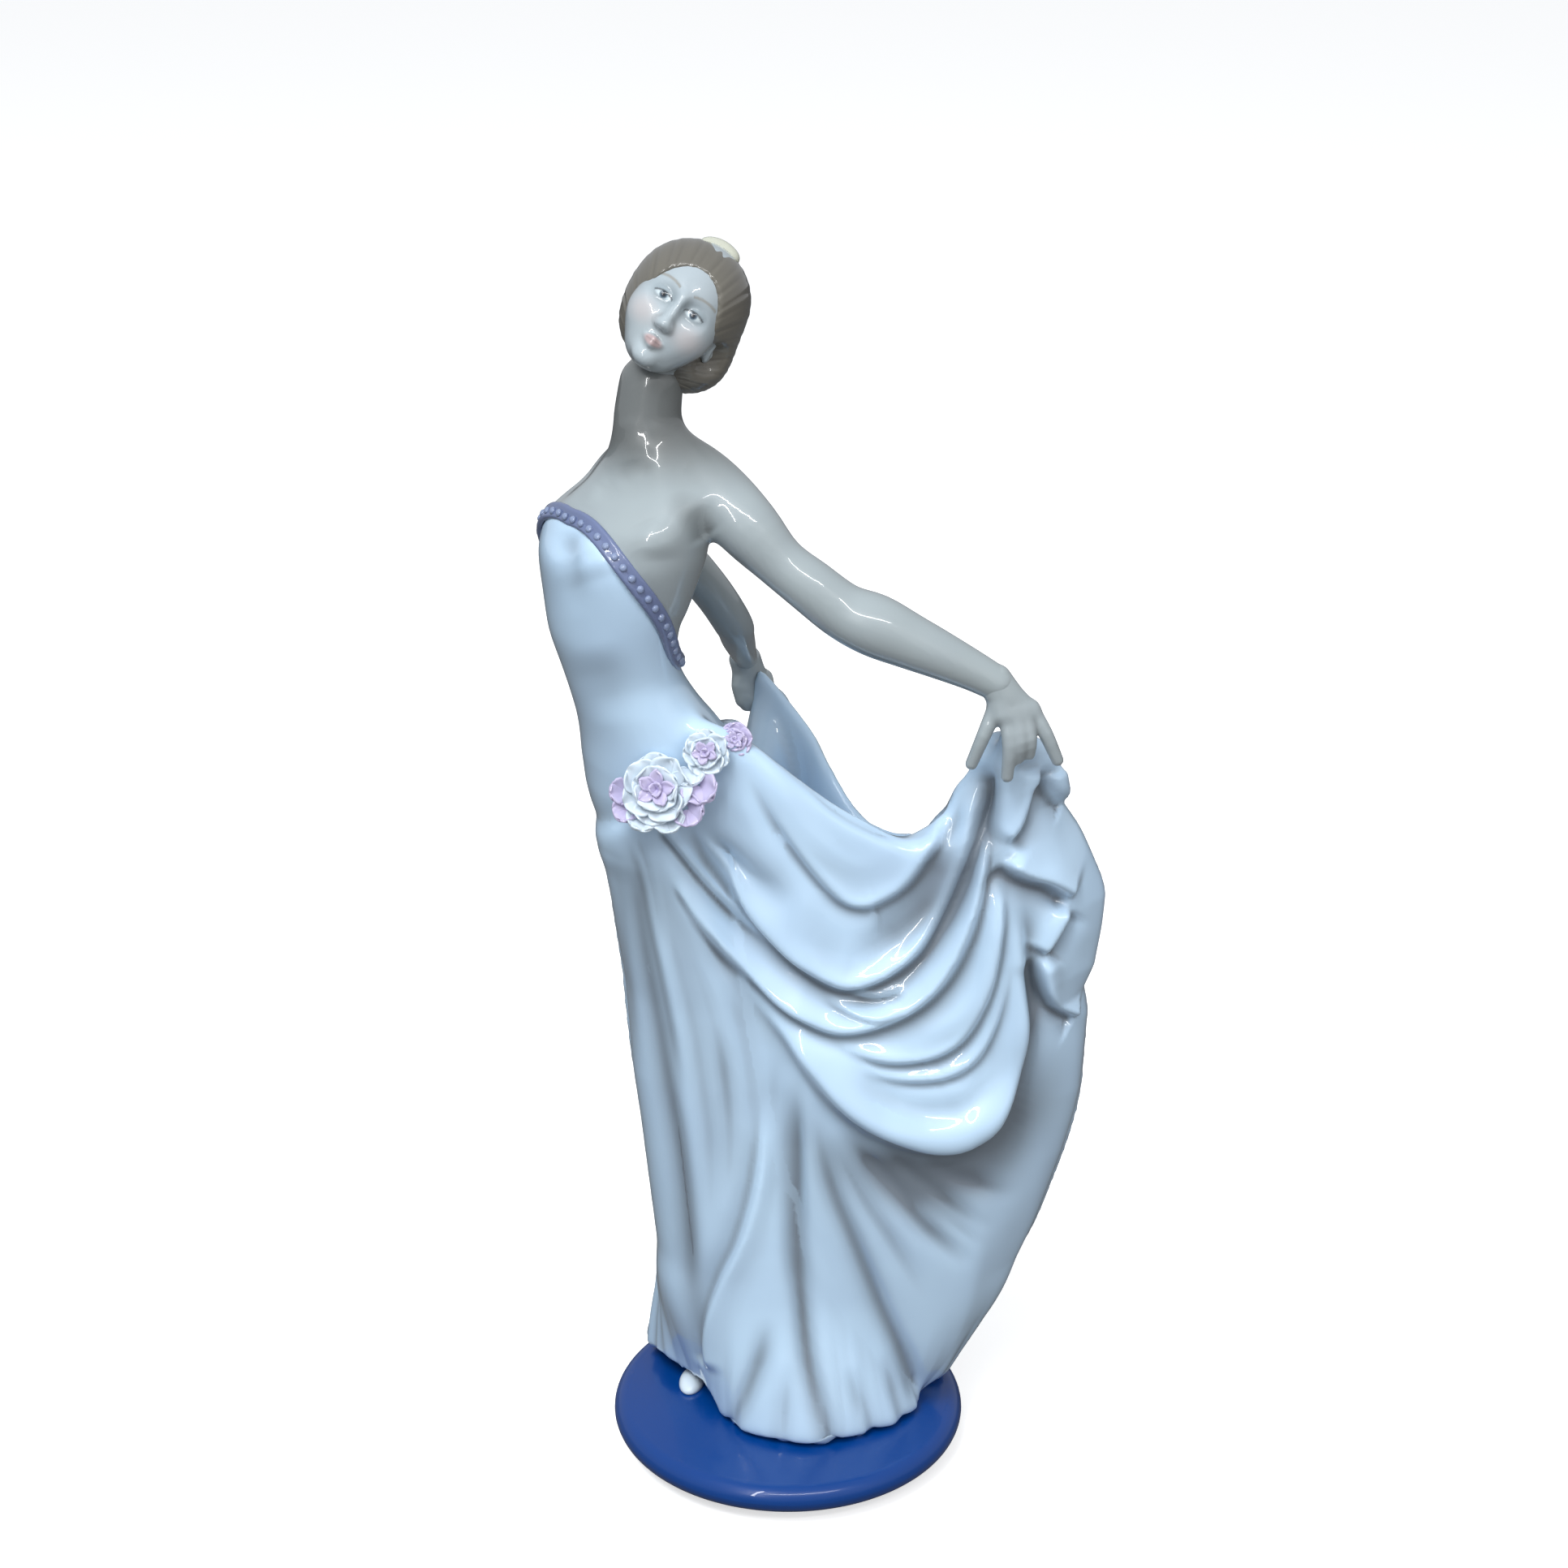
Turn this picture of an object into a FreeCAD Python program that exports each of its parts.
"""Porcelain dancer: a slip-cast lady in a strapless gown who holds her skirt out with both hands.

Frame: millimetres, +Z up, origin on the table under the middle of the round plinth. The display side
faces -Y. The dancer faces away from +X and a little towards -Y, and both arms reach back.
Every piece is cast or hand-made on its own and luted to its neighbours with slip before firing.
"""
import FreeCAD, Part
import math
import os
import Sketcher
from FreeCAD import Placement, Rotation, Vector

doc = FreeCAD.newDocument("PorcelainDancer")
sheet = doc.addObject("Spreadsheet::Sheet", "Sizes")

# ---------------------------------------------------------------- driving dimensions

SIZES = {
    # plinth
    "plinth_radius": 43.6,
    "plinth_height": 13.0,
    "plinth_shoulder": 11.0,
    "plinth_belly": 7.2,
    "foot_ring_outer": 31.5,
    "foot_ring_inner": 27.0,
    "recess_depth": 6.0,
    "vent_radius": 3.0,
    # which way the dancer faces, measured from the display side towards -X
    "facing_turn": 55.0,
    # planes where the castings meet
    "hip_seam_x": -30.0,
    "hip_seam_z": 174.0,
    "hip_seam_tilt": 36.0,
    "neckline_x": -37.5,
    "neckline_y": 3.0,
    "neckline_z": 222.5,
    "neckline_tilt": 46.0,
    "wall": 3.0,
    # lilac band round the neckline
    "band_thickness": 1.2,
    "band_width": 3.4,
    "bead_radius": 0.7,
    "bead_count": 34,
    # head
    "head_x": -22.5,
    "head_y": 7.0,
    "head_z": 282.0,
    "head_tilt": 27.0,
    "head_turn": 24.0,
    "head_half_width": 10.8,
    "head_half_depth": 12.6,
    "jaw_drop": 4.6,
    "jaw_half_height": 11.0,
    "jaw_half_width": 8.2,
    "jaw_half_depth": 9.4,
    "hair_thickness": 1.1,
    "hair_back": 2.6,
    "hairline_lean": 32.0,
    "hairline_front": 3.6,
    "comb_half_width": 7.4,
    "comb_half_height": 4.2,
    "comb_half_depth": 2.6,
    "comb_rise": 14.6,
    "head_lift": 10.0,
    "skull_half_height": 11.4,
    "skull_back": 1.5,
    "skull_rise": 3.6,
    "jaw_forward": 2.4,
    # hands
    "palm_half_length": 5.6,
    "palm_half_width": 4.2,
    "palm_half_depth": 2.2,
    "finger_root_radius": 1.35,
    "finger_tip_radius": 0.95,
    "finger_pitch": 2.3,
    "finger_length": 9.0,
    "finger_fan": 9.0,
    "thumb_length": 8.5,
    "thumb_angle": 34.0,
    # shoe
    "shoe_x": -24.5,
    "shoe_y": 3.0,
    "shoe_half_length": 6.0,
    "shoe_half_width": 3.0,
    "shoe_half_height": 3.2,
    "shoe_turn": 40.0,
    # flowers
    "petal_thickness": 0.7,
    "petal_overlap": 24.0,
    "heart_lean": 26.0,
}

# Stations of the lofted castings. Each row is one section.
# Upright castings: height, centre x, centre y, half width, half depth.
TRUNK = [
    (158, -27.8, 8, 21.6, 16.2),
    (178, -29.4, 8, 21.0, 16.0),
    (187, -31.2, 7, 19.6, 15.0),
    (195, -35.0, 5, 17.4, 12.8),
    (203, -38.4, 4, 16.0, 11.5),
    (212, -39.6, 3, 17.6, 13.0),
    (222, -38.3, 3, 20.0, 15.2),
    (232, -37.0, 3, 21.8, 17.8),
    (240, -36.2, 4, 22.6, 15.4),
    (247, -32.8, 6, 22.0, 9.8),
    (252, -31.6, 6, 13.4, 8.0),
    (258, -31.6, 6, 7.4, 7.2),
    (272, -30.0, 7, 6.8, 6.6),
]
SKIRT = [
    (8, 3, 4, 36.5, 27.5),
    (25, 0, 4, 33.5, 25.5),
    (52, -4, 4, 28.5, 22.5),
    (86, -12, 5, 24.0, 20.0),
    (122, -19.5, 7, 21.0, 19.0),
    (158, -27.8, 8, 19.2, 18.6),
    (194, -29.2, 8, 18.8, 18.2),
]
# Drapes: place along the wing, sideways centre, bottom, top, half thickness.
LEFT_DRAPE = [
    (-18, 3, 64, 178, 8),
    (4, -5, 10, 175, 12),
    (15, -5, 9, 167, 12.5),
    (27, -4, 8, 163.5, 13),
    (37, -4, 12, 170, 12),
    (46, -4, 17, 191, 11),
    (54, -2, 36, 189, 9.5),
    (62, 0.5, 58, 178, 8),
    (70, 3.5, 88, 164, 5.5),
    (75, 5, 124, 150, 2.5),
]
RIGHT_DRAPE = [
    (14, -24, 64, 180, 9),
    (32, -14, 12, 163, 12),
    (41, -9.5, 15, 161, 12),
    (50, -6, 22, 165, 12),
    (58, -4.5, 34, 173, 11.5),
    (65, -3.5, 50, 176, 10.5),
    (73, -2, 86, 160, 7),
    (78, -1, 118, 142, 2.5),
]
# Swag that hangs behind her between the hands: centre x, centre y, bottom, top, half thickness, heading.
BACK_DRAPE = [
    (67, 6, 122, 168, 3.0, 98),
    (65, 18, 104, 154, 3.2, 104),
    (60, 31, 90, 142, 3.4, 116),
    (50, 43, 80, 134, 3.6, 132),
    (37, 52, 76, 130, 3.6, 148),
    (22, 60, 80, 134, 3.6, 158),
    (8, 66, 92, 146, 3.2, 166),
    (-2, 69, 104, 158, 3.0, 172),
]
# Limbs: centre x, y, z and radius at each station, shoulder to wrist.
LEFT_ARM = [
    (-24, -4, 248, 7.6),
    (-15, -9, 245, 7.3),
    (0, -12, 233.5, 5.6),
    (15, -13, 223, 5.6),
    (28, -13, 215.5, 5.0),
    (46, -12, 204, 3.5),
]
RIGHT_ARM = [
    (-42, 22, 247, 7.0),
    (-37, 31, 239, 6.6),
    (-29, 41, 225, 5.4),
    (-23.5, 48, 215, 5.2),
    (-18, 57, 202, 4.6),
    (-13, 66, 188, 3.2),
]
# Flowers on the hip: centre x, y, z, petal count, petal length, petal half width, outward lean, turn.
FLOWERS = {
    "large": (-29.7, -11.6, 179.7, 6, 6.8, 2.6, 24, 10),
    "medium": (-18.2, -10.0, 187.8, 5, 5.6, 2.5, 30, 30),
    "small": (-12.0, -6.6, 189.4, 5, 3.8, 1.7, 34, 0),
}


def fill_sheet():
    """Writes every driving dimension to the sheet as a plain number with an alias."""
    rows = dict(SIZES)
    tables = {
        "trunk": (TRUNK, ("z", "x", "y", "wide", "deep")),
        "skirt": (SKIRT, ("z", "x", "y", "wide", "deep")),
        "left_drape": (LEFT_DRAPE, ("along", "side", "low", "high", "thick")),
        "right_drape": (RIGHT_DRAPE, ("along", "side", "low", "high", "thick")),
        "back_drape": (BACK_DRAPE, ("x", "y", "low", "high", "thick", "heading")),
        "left_arm": (LEFT_ARM, ("x", "y", "z", "radius")),
        "right_arm": (RIGHT_ARM, ("x", "y", "z", "radius")),
    }
    for name, (stations, columns) in tables.items():
        for number, station in enumerate(stations):
            for column, value in zip(columns, station):
                rows[f"{name}_{column}_{number}"] = value
    columns = ("x", "y", "z", "petals", "petal_length", "petal_width", "lean", "turn")
    for name, flower in FLOWERS.items():
        for column, value in zip(columns, flower):
            rows[f"flower_{name}_{column}"] = value
    for number, (alias, value) in enumerate(rows.items(), start=1):
        sheet.set(f"A{number}", alias.replace("_", " "))
        sheet.set(f"B{number}", str(value))
        sheet.setAlias(f"B{number}", alias)
    doc.recompute()


def size(alias):
    """The value of one cell."""
    return float(sheet.get(alias))


def bind(obj, **expressions):
    """Binds properties of an object to expressions; a double underscore stands for a dot."""
    for name, expression in expressions.items():
        obj.setExpression(name.replace("__", "."), expression)


def neckline_frame():
    """Point and rotation of the neckline plane, which is high on her front and low on her back."""
    turn = math.radians(size("facing_turn"))
    to_her_left = Vector(math.cos(turn), -math.sin(turn), 0)
    point = Vector(size("neckline_x"), size("neckline_y"), size("neckline_z"))
    return point, Rotation(to_her_left, -size("neckline_tilt"))


# ---------------------------------------------------------------- building blocks

def origin_plane(body, role):
    return [f for f in body.Origin.OriginFeatures if f.Role == role][0]


def new_sketch(body, name, role="XY_Plane"):
    sketch = body.newObject("Sketcher::SketchObject", name)
    sketch.AttachmentSupport = [(origin_plane(body, role), "")]
    sketch.MapMode = "FlatFace"
    return sketch


def ellipse_sketch(body, name, placement, wide, deep):
    """A sketch of one ellipse; wide and deep are expressions for its half axes."""
    sketch = new_sketch(body, name)
    sketch.AttachmentOffset = placement
    # any first size will do here, because the two constraints set it from the sheet
    half_wide, half_deep = 20.0, 10.0
    first_outline = Part.Ellipse(Vector(half_wide, 0, 0), Vector(0, half_deep, 0), Vector(0, 0, 0))
    sketch.addGeometry(first_outline, False)
    sketch.exposeInternalGeometry(0)
    sketch.addConstraint(Sketcher.Constraint("Coincident", 0, 3, -1, 1))
    sketch.addConstraint(Sketcher.Constraint("Horizontal", 1))
    across = sketch.addConstraint(Sketcher.Constraint("Distance", 1, 2 * half_wide))
    along = sketch.addConstraint(Sketcher.Constraint("Distance", 2, 2 * half_deep))
    sketch.setExpression(f"Constraints[{across}]", f"2 * ({wide})")
    sketch.setExpression(f"Constraints[{along}]", f"2 * ({deep})")
    return sketch


def circle_sketch(body, name, placement, radius):
    """A sketch of one circle; radius is an expression."""
    sketch = new_sketch(body, name)
    sketch.AttachmentOffset = placement
    sketch.addGeometry(Part.Circle(Vector(0, 0, 0), Vector(0, 0, 1), 1.0), False)
    sketch.addConstraint(Sketcher.Constraint("Coincident", 0, 3, -1, 1))
    number = sketch.addConstraint(Sketcher.Constraint("Radius", 0, 1.0))
    sketch.setExpression(f"Constraints[{number}]", radius)
    return sketch


def loft(body, sections):
    """An additive loft through the sections, in order."""
    feature = body.newObject("PartDesign::AdditiveLoft", body.Name + "_loft")
    feature.Profile = sections[0]
    feature.Sections = sections[1:]
    feature.Ruled = True
    for sketch in sections:
        sketch.Visibility = False
    return feature


def upright_casting(name, table, count, turn, shrink="0", lower="0"):
    """A body lofted through level ellipses, all turned by the same angle from the display side.

    shrink takes a wall's thickness off each half axis and lower moves every section down.
    """
    body = doc.addObject("PartDesign::Body", name)
    sections = []
    for i in range(count):
        sketch = ellipse_sketch(
            body,
            f"{name}_section_{i}",
            Placement(Vector(0, 0, 0), Rotation(Vector(0, 0, 1), -turn)),
            f"Sizes.{table}_wide_{i} - {shrink}",
            f"Sizes.{table}_deep_{i} - {shrink}",
        )
        bind(
            sketch,
            AttachmentOffset__Base__x=f"Sizes.{table}_x_{i}",
            AttachmentOffset__Base__y=f"Sizes.{table}_y_{i}",
            AttachmentOffset__Base__z=f"Sizes.{table}_z_{i} - {lower}",
        )
        sections.append(sketch)
    loft(body, sections)
    return body


def drape_casting(name, table, count, across):
    """A body lofted through standing ellipses along X or along Y."""
    body = doc.addObject("PartDesign::Body", name)
    # local X of the section stands up and local Z runs along the wing
    normal = Vector(1, 0, 0) if across == "x" else Vector(0, 1, 0)
    upright = Rotation(Vector(0, 0, 1), normal.cross(Vector(0, 0, 1)), normal, "ZXY")
    sections = []
    for i in range(count):
        sketch = ellipse_sketch(
            body,
            f"{name}_section_{i}",
            Placement(Vector(0, 0, 0), upright),
            f"(Sizes.{table}_high_{i} - Sizes.{table}_low_{i}) / 2",
            f"Sizes.{table}_thick_{i}",
        )
        along, side = f"Sizes.{table}_along_{i}", f"Sizes.{table}_side_{i}"
        bind(
            sketch,
            AttachmentOffset__Base__x=along if across == "x" else side,
            AttachmentOffset__Base__y=side if across == "x" else along,
            AttachmentOffset__Base__z=f"(Sizes.{table}_high_{i} + Sizes.{table}_low_{i}) / 2",
        )
        sections.append(sketch)
    loft(body, sections)
    return body


def limb_casting(name, table, count):
    """A body lofted through circles square to the line of the limb."""
    body = doc.addObject("PartDesign::Body", name)
    points = [
        Vector(size(f"{table}_x_{i}"), size(f"{table}_y_{i}"), size(f"{table}_z_{i}"))
        for i in range(count)
    ]
    sections = []
    for i in range(count):
        ahead = points[min(i + 1, count - 1)] - points[max(i - 1, 0)]
        level = ahead.cross(Vector(0, 0, 1))
        sketch = circle_sketch(
            body,
            f"{name}_section_{i}",
            Placement(Vector(0, 0, 0), Rotation(level, ahead.cross(level), ahead, "ZXY")),
            f"Sizes.{table}_radius_{i}",
        )
        bind(
            sketch,
            AttachmentOffset__Base__x=f"Sizes.{table}_x_{i}",
            AttachmentOffset__Base__y=f"Sizes.{table}_y_{i}",
            AttachmentOffset__Base__z=f"Sizes.{table}_z_{i}",
        )
        sections.append(sketch)
    loft(body, sections)
    return body


def cut(name, base, *tools):
    """The base less each tool in turn."""
    for number, tool in enumerate(tools, start=1):
        feature = doc.addObject("Part::Cut", name if number == len(tools) else f"{name}_step_{number}")
        feature.Base = base
        feature.Tool = tool
        base = feature
    return base


def common(name, base, tool):
    feature = doc.addObject("Part::Common", name)
    feature.Base = base
    feature.Tool = tool
    return feature


def fuse(name, shapes):
    feature = doc.addObject("Part::MultiFuse", name)
    feature.Shapes = shapes
    return feature


def group(name, shapes):
    """Separate solids kept together in one node."""
    feature = doc.addObject("Part::Compound", name)
    feature.Links = shapes
    return feature


def half_space(name, point, rotation):
    """A large box whose bottom face passes through point and is square to the rotated Z axis."""
    side = 400
    box = doc.addObject("Part::Box", name)
    box.Length = side
    box.Width = side
    box.Height = side
    box.Placement = Placement(point, rotation) * Placement(Vector(-side / 2, -side / 2, 0), Rotation())
    return box


def ellipsoid(name, half_x, half_y, half_z):
    """A Part ellipsoid whose half axes are expressions."""
    feature = doc.addObject("Part::Ellipsoid", name)
    feature.Angle1 = -90
    feature.Angle2 = 90
    feature.Angle3 = 360
    bind(feature, Radius1=half_z, Radius2=half_x, Radius3=half_y)
    return feature


def finger(name, start, heading, length, root_radius, tip_radius):
    """A tapered finger with a round tip, as one fused solid."""
    cone = doc.addObject("Part::Cone", name + "_cone")
    cone.Height = length
    bind(cone, Radius1=root_radius, Radius2=tip_radius)
    cone.Placement = Placement(start, Rotation(Vector(0, 0, 1), heading))
    tip = doc.addObject("Part::Sphere", name + "_tip")
    bind(tip, Radius=tip_radius)
    tip.Placement = Placement(start + heading.normalize() * length, Rotation())
    return [cone, tip]


def joined_ends(sketch, first, second):
    """Which end of each of two joined curves meets the other."""
    near = None
    for a in (1, 2):
        for b in (1, 2):
            gap = (sketch.getPoint(first, a) - sketch.getPoint(second, b)).Length
            if near is None or gap < near[0]:
                near = (gap, a, b)
    return near[1], near[2]


# ---------------------------------------------------------------- the pieces

def make_plinth():
    """Round glazed plinth: domed top, rounded rim, sloping underside, foot ring, recess and vent hole."""
    body = doc.addObject("PartDesign::Body", "plinth_body")
    sketch = new_sketch(body, "plinth_profile", "XZ_Plane")
    radius, height = size("plinth_radius"), size("plinth_height")
    shoulder, belly = size("plinth_shoulder"), size("plinth_belly")
    ring = size("foot_ring_outer")
    top, edge = Vector(0, height, 0), Vector(radius - 3.8, shoulder, 0)
    side, under = Vector(radius, belly, 0), Vector(radius - 2.1, belly - 3.2, 0)
    foot = Vector(ring, 0, 0)
    sketch.addGeometry(Part.LineSegment(Vector(0, 0, 0), top), False)
    sketch.addGeometry(Part.Arc(top, Vector(radius * 0.5, height - 0.4, 0), edge), False)
    sketch.addGeometry(Part.Arc(edge, Vector(radius - 1.1, belly + 2.7, 0), side), False)
    sketch.addGeometry(Part.Arc(side, Vector(radius - 0.6, belly - 1.9, 0), under), False)
    sketch.addGeometry(Part.LineSegment(under, foot), False)
    sketch.addGeometry(Part.LineSegment(foot, Vector(0, 0, 0)), False)
    curves = 6
    for first in range(curves):
        second = (first + 1) % curves
        ends = joined_ends(sketch, first, second)
        sketch.addConstraint(Sketcher.Constraint("Coincident", first, ends[0], second, ends[1]))
    revolve = body.newObject("PartDesign::Revolution", "plinth_turning")
    revolve.Profile = sketch
    revolve.ReferenceAxis = (sketch, ["V_Axis"])
    revolve.Angle = 360
    doc.recompute()
    recess = circle_sketch(body, "plinth_recess_outline", Placement(), "Sizes.foot_ring_inner")
    pocket = body.newObject("PartDesign::Pocket", "plinth_recess")
    pocket.Profile = recess
    pocket.Reversed = True
    bind(pocket, Length="Sizes.recess_depth")
    vent = circle_sketch(body, "plinth_vent_outline", Placement(), "Sizes.vent_radius")
    hole = body.newObject("PartDesign::Pocket", "plinth_vent")
    hole.Profile = vent
    hole.Reversed = True
    hole.Length = 2 * height
    doc.recompute()
    return body


def split_trunk():
    """Bodice and bare upper body, parted at the neckline, and both parted from the skirt at the hip seam."""
    trunk = upright_casting("trunk", "trunk", len(TRUNK), size("facing_turn"))
    seam = half_space(
        "above_hip_seam",
        Vector(size("hip_seam_x"), 0, size("hip_seam_z")),
        Rotation(Vector(0, 1, 0), -size("hip_seam_tilt")),
    )
    neckline = half_space("above_neckline", *neckline_frame())
    dress_side = common("trunk_above_seam", trunk, seam)
    bodice = cut("bodice", dress_side, neckline)
    bust = common("bust", trunk, neckline)
    return trunk, seam, bodice, bust


def make_skirt(plinth, seam):
    """Hollow skirt casting: outer loft less an inner loft, open at the foot, sitting on the plinth."""
    outer = upright_casting("skirt_outer", "skirt", len(SKIRT), 0)
    inner = upright_casting("skirt_cavity", "skirt", len(SKIRT) - 1, 0, "Sizes.wall", "Sizes.wall")
    shell = cut("skirt_shell", outer, inner)
    lower = cut("skirt_below_seam", shell, seam)
    return outer, cut("skirt", lower, plinth)


def make_back_drape():
    """Raw swag behind her, lofted through standing ellipses square to a path from hand to hand."""
    body = doc.addObject("PartDesign::Body", "back_drape_casting")
    sections = []
    for i in range(len(BACK_DRAPE)):
        heading = math.radians(size(f"back_drape_heading_{i}"))
        normal = Vector(math.cos(heading), math.sin(heading), 0)
        upright = Rotation(Vector(0, 0, 1), normal.cross(Vector(0, 0, 1)), normal, "ZXY")
        sketch = ellipse_sketch(
            body,
            f"back_drape_section_{i}",
            Placement(Vector(0, 0, 0), upright),
            f"(Sizes.back_drape_high_{i} - Sizes.back_drape_low_{i}) / 2",
            f"Sizes.back_drape_thick_{i}",
        )
        bind(
            sketch,
            AttachmentOffset__Base__x=f"Sizes.back_drape_x_{i}",
            AttachmentOffset__Base__y=f"Sizes.back_drape_y_{i}",
            AttachmentOffset__Base__z=f"(Sizes.back_drape_high_{i} + Sizes.back_drape_low_{i}) / 2",
        )
        sections.append(sketch)
    loft(body, sections)
    return body


def head_placement():
    """Head frame: +Z to the crown, -Y out of the face."""
    turn = (
        Rotation(Vector(0, 1, 0), size("head_tilt"))
        * Rotation(Vector(0, 0, 1), -size("head_turn"))
        * Rotation(Vector(1, 0, 0), -size("head_lift"))
    )
    return Placement(Vector(size("head_x"), size("head_y"), size("head_z")), turn)


def placed(feature, frame, offset):
    """Sets a feature at an offset given in a sub-assembly's own frame."""
    feature.Placement = frame * Placement(offset, Rotation())
    return feature


def make_head(bust):
    """Head, hair cap and comb, each cut back to the casting it sits on."""
    frame = head_placement()
    skull = ellipsoid("skull", "Sizes.head_half_width", "Sizes.head_half_depth", "Sizes.skull_half_height")
    placed(skull, frame, Vector(0, size("skull_back"), size("skull_rise")))
    jaw = ellipsoid("jaw", "Sizes.jaw_half_width", "Sizes.jaw_half_depth", "Sizes.jaw_half_height")
    placed(jaw, frame, Vector(0, -size("jaw_forward"), -size("jaw_drop")))
    head = cut("head", fuse("head_solid", [skull, jaw]), bust)
    cap = ellipsoid(
        "hair_cap",
        "Sizes.head_half_width + Sizes.hair_thickness",
        "Sizes.head_half_depth + Sizes.hair_thickness",
        "Sizes.skull_half_height + Sizes.hair_thickness",
    )
    placed(cap, frame, Vector(0, size("skull_back") + size("hair_back"), size("skull_rise")))
    hairline = half_space(
        "behind_hairline",
        frame.multVec(Vector(0, -size("hairline_front"), 0)),
        frame.Rotation * Rotation(Vector(1, 0, 0), -size("hairline_lean")),
    )
    cap_behind = common("hair_behind_line", cap, hairline)
    hair = cut("hair", cap_behind, head, bust)
    comb_solid = ellipsoid(
        "comb_solid", "Sizes.comb_half_width", "Sizes.comb_half_depth", "Sizes.comb_half_height"
    )
    placed(comb_solid, frame, Vector(0, size("skull_back"), size("comb_rise")))
    return head, hair, cut("comb", comb_solid, head, hair)


def make_hand(name, wrist, knuckles, across, hold):
    """A hand closed on the cloth: palm, four fingers and a thumb, fused into one solid.

    wrist and knuckles are points, across runs from thumb side to little finger, hold is the way
    that the fingers hang.
    """
    reach = (knuckles - wrist).normalize()
    back = reach.cross(across).normalize()
    side = back.cross(reach).normalize()
    turn = Rotation(side, back, reach, "ZXY")
    palm = ellipsoid(
        f"{name}_palm", "Sizes.palm_half_width", "Sizes.palm_half_depth", "Sizes.palm_half_length"
    )
    palm.Placement = Placement((wrist + knuckles) * 0.5, turn)
    pieces = [palm]
    pitch, length = size("finger_pitch"), size("finger_length")
    for number, share in enumerate((0.92, 1.0, 0.94, 0.8)):
        offset = (number - 1.5) * pitch
        fan = Rotation(back, (1.5 - number) * size("finger_fan"))
        start = knuckles + side * offset - reach * 1.5
        pieces += finger(
            f"{name}_finger_{number}",
            start,
            fan.multVec(hold),
            length * share,
            "Sizes.finger_root_radius",
            "Sizes.finger_tip_radius",
        )
    thumb_way = (hold - side * math.tan(math.radians(size("thumb_angle")))).normalize()
    thumb_root = wrist + reach * size("palm_half_length") * 0.9 - side * size("palm_half_width") * 0.7
    pieces += finger(
        f"{name}_thumb",
        thumb_root,
        thumb_way,
        size("thumb_length"),
        "Sizes.finger_root_radius",
        "Sizes.finger_tip_radius",
    )
    return fuse(f"{name}_solid", pieces)


def limb_end(table, count):
    last = count - 1
    return Vector(size(f"{table}_x_{last}"), size(f"{table}_y_{last}"), size(f"{table}_z_{last}"))


def make_shoe(plinth):
    """Tip of the shoe under the hem."""
    solid = ellipsoid(
        "shoe_solid", "Sizes.shoe_half_width", "Sizes.shoe_half_length", "Sizes.shoe_half_height"
    )
    base = Vector(size("shoe_x"), size("shoe_y"), size("plinth_height"))
    solid.Placement = Placement(base, Rotation(Vector(0, 0, 1), -size("shoe_turn")))
    return cut("shoe_on_plinth", solid, plinth)


def make_band(trunk):
    """Flat band set round the neckline over the trunk, and the row of beads on it."""
    point, turn = neckline_frame()
    outer = upright_casting(
        "band_outer", "trunk", len(TRUNK) - 3, size("facing_turn"), "-Sizes.band_thickness"
    )
    side = 120
    slab = doc.addObject("Part::Box", "band_slab")
    slab.Length = side
    slab.Width = side
    bind(slab, Height="Sizes.band_width")
    corner = Vector(-side / 2, -side / 2, -size("band_width") / 2)
    slab.Placement = Placement(point, turn) * Placement(corner, Rotation())
    band = cut("band_off_trunk", common("band_ring", outer, slab), trunk)
    doc.recompute()
    normal = turn.multVec(Vector(0, 0, 1))
    outline = outer.Shape.slice(normal, normal.dot(point))[0]
    centre = outline.BoundBox.Center
    beads = []
    for number, spot in enumerate(outline.discretize(int(size("bead_count")) + 1)[:-1]):
        bead = doc.addObject("Part::Sphere", f"bead_{number}")
        bind(bead, Radius="Sizes.bead_radius")
        outward = (spot - centre).normalize()
        bead.Placement = Placement(spot + outward * size("bead_radius"), Rotation())
        beads.append(bead)
    return band, group("bead_row", beads)


def make_flower(name):
    """Hand-made flower: a ring of outer petals and a smaller, steeper ring at its heart."""
    prefix = f"flower_{name}"
    centre = Vector(size(f"{prefix}_x"), size(f"{prefix}_y"), size(f"{prefix}_z"))
    count = int(size(f"{prefix}_petals"))
    outward = Vector(-0.2, -0.96, 0.18)
    facing_out = Rotation(Vector(0, 0, 1), outward)
    rings = []
    for ring, share, lean in (("petals", 1.0, 0.0), ("heart", 0.52, size("heart_lean"))):
        petals = []
        for i in range(count):
            petal = ellipsoid(
                f"{prefix}_{ring}_{i}",
                f"Sizes.{prefix}_petal_length * {share} / 2",
                f"Sizes.{prefix}_petal_width * {share}",
                "Sizes.petal_thickness",
            )
            spin = Rotation(Vector(0, 0, 1), size(f"{prefix}_turn") + 360.0 * i / count)
            tip_up = Rotation(Vector(0, 1, 0), -size(f"{prefix}_lean") - lean)
            over_neighbour = Rotation(Vector(1, 0, 0), size("petal_overlap"))
            reach = size(f"{prefix}_petal_length") * share * 0.58
            petal_turn = Placement(Vector(reach, 0, 0), over_neighbour)
            local = Placement(Vector(0, 0, 0), spin * tip_up) * petal_turn
            lift = outward * (0 if ring == "petals" else size("petal_thickness") * 2)
            petal.Placement = Placement(centre + lift, facing_out) * local
            petals.append(petal)
        rings.append(group(f"{prefix}_{ring}_ring", petals))
    return rings


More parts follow.
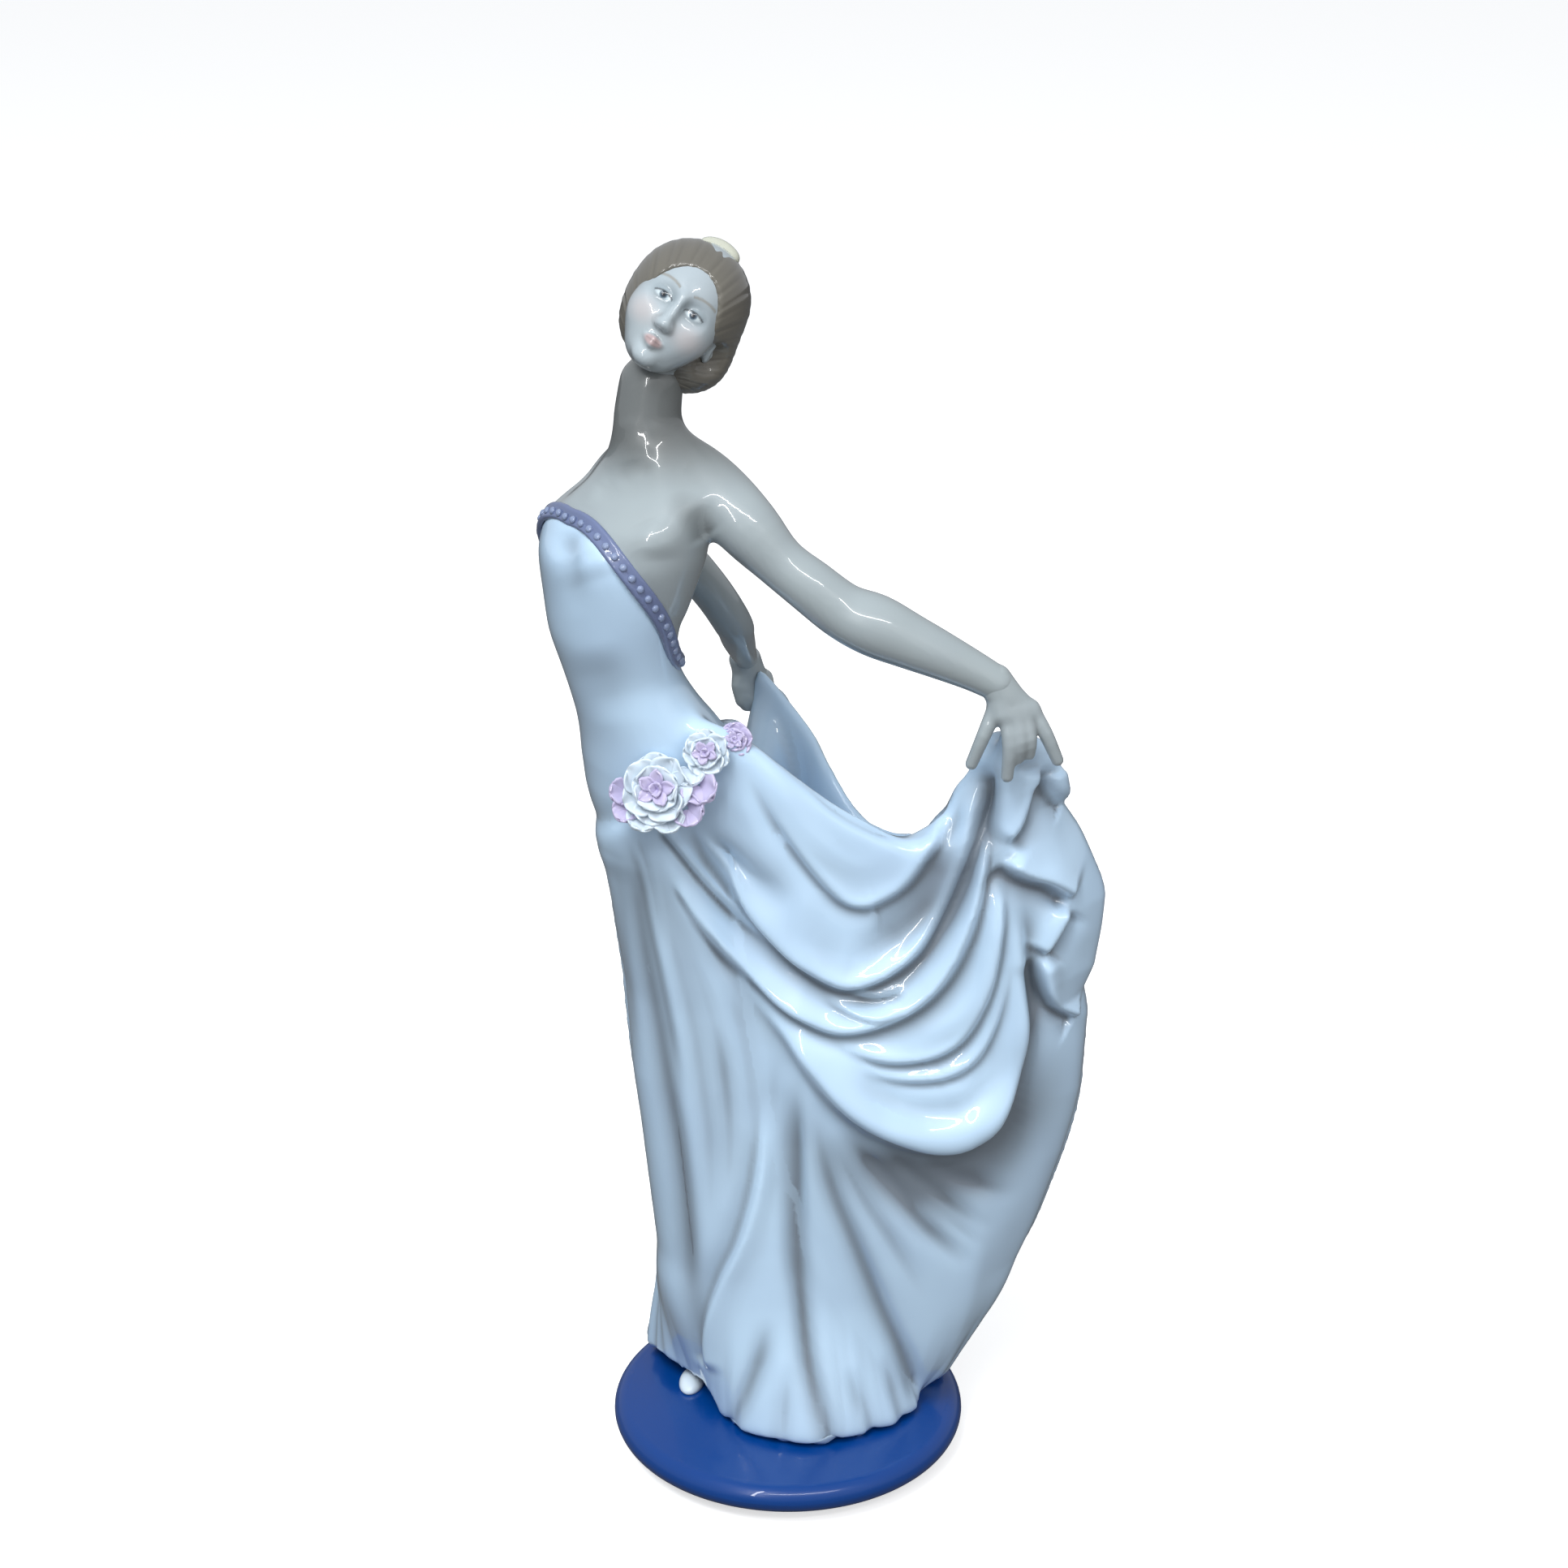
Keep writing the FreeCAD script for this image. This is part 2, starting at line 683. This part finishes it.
def export(pieces):
    """Checks every object of the document and every piece, then writes one STEP file for each piece."""
    doc.recompute()
    failed = [o.Label for o in doc.Objects if "Invalid" in o.State or "Error" in o.State]
    if failed:
        raise RuntimeError(f"failed objects: {failed}")
    os.makedirs("parts", exist_ok=True)
    for label, feature in pieces.items():
        feature.Label = label
        shape = feature.Shape
        if shape.isNull() or not shape.isValid() or not shape.Solids:
            raise RuntimeError(f"piece {label} has no valid solid")
        shape.exportStep(f"parts/{label}.step")
        print(label, len(shape.Solids), "solid(s)", round(shape.Volume, 1), "mm3")


def main():
    fill_sheet()
    plinth = make_plinth()
    trunk, seam, bodice, bust = split_trunk()
    skirt_outer, skirt = make_skirt(plinth, seam)
    left_raw = drape_casting("left_drape_casting", "left_drape", len(LEFT_DRAPE), "x")
    right_raw = drape_casting("right_drape_casting", "right_drape", len(RIGHT_DRAPE), "y")
    back_raw = make_back_drape()
    left_arm_raw = limb_casting("left_arm_casting", "left_arm", len(LEFT_ARM))
    right_arm_raw = limb_casting("right_arm_casting", "right_arm", len(RIGHT_ARM))
    doc.recompute()
    left_drape = cut("left_drape", left_raw, trunk, skirt_outer, plinth)
    right_drape = cut("right_drape", right_raw, trunk, skirt_outer, left_raw)
    back_drape = cut("back_drape", back_raw, left_raw, right_raw)
    left_arm = cut("left_arm", left_arm_raw, bust, bodice)
    right_arm = cut("right_arm", right_arm_raw, bust, bodice)
    head, hair, comb = make_head(bust)
    left_wrist = limb_end("left_arm", len(LEFT_ARM))
    left_knuckles = left_wrist + Vector(7.5, 0.5, -11)
    left_solid = make_hand(
        "left_hand", left_wrist, left_knuckles, Vector(0.85, 0, 0.5), Vector(0.05, -0.25, -1)
    )
    right_wrist = limb_end("right_arm", len(RIGHT_ARM))
    right_knuckles = right_wrist + Vector(3.5, 1.5, -9.5)
    right_solid = make_hand(
        "right_hand", right_wrist, right_knuckles, Vector(0.9, 0.1, 0.35), Vector(0.0, -0.3, -1)
    )
    left_hand = cut("left_hand", left_solid, left_raw, left_arm_raw)
    right_hand = cut("right_hand", right_solid, right_raw, right_arm_raw)
    shoe = make_shoe(plinth)
    band, beads = make_band(trunk)
    doc.recompute()
    pieces = {
        "plinth": plinth,
        "skirt": skirt,
        "left_drape": left_drape,
        "right_drape": right_drape,
        "back_drape": back_drape,
        "bodice": bodice,
        "bust": bust,
        "neckline_band": band,
        "neckline_beads": beads,
        "head": head,
        "hair": hair,
        "comb": comb,
        "left_arm": left_arm,
        "right_arm": right_arm,
        "left_hand": left_hand,
        "right_hand": right_hand,
        "shoe": shoe,
    }
    for name in FLOWERS:
        petals, heart = make_flower(name)
        pieces[f"{name}_flower_petals"] = petals
        pieces[f"{name}_flower_heart"] = heart
    export(pieces)


main()
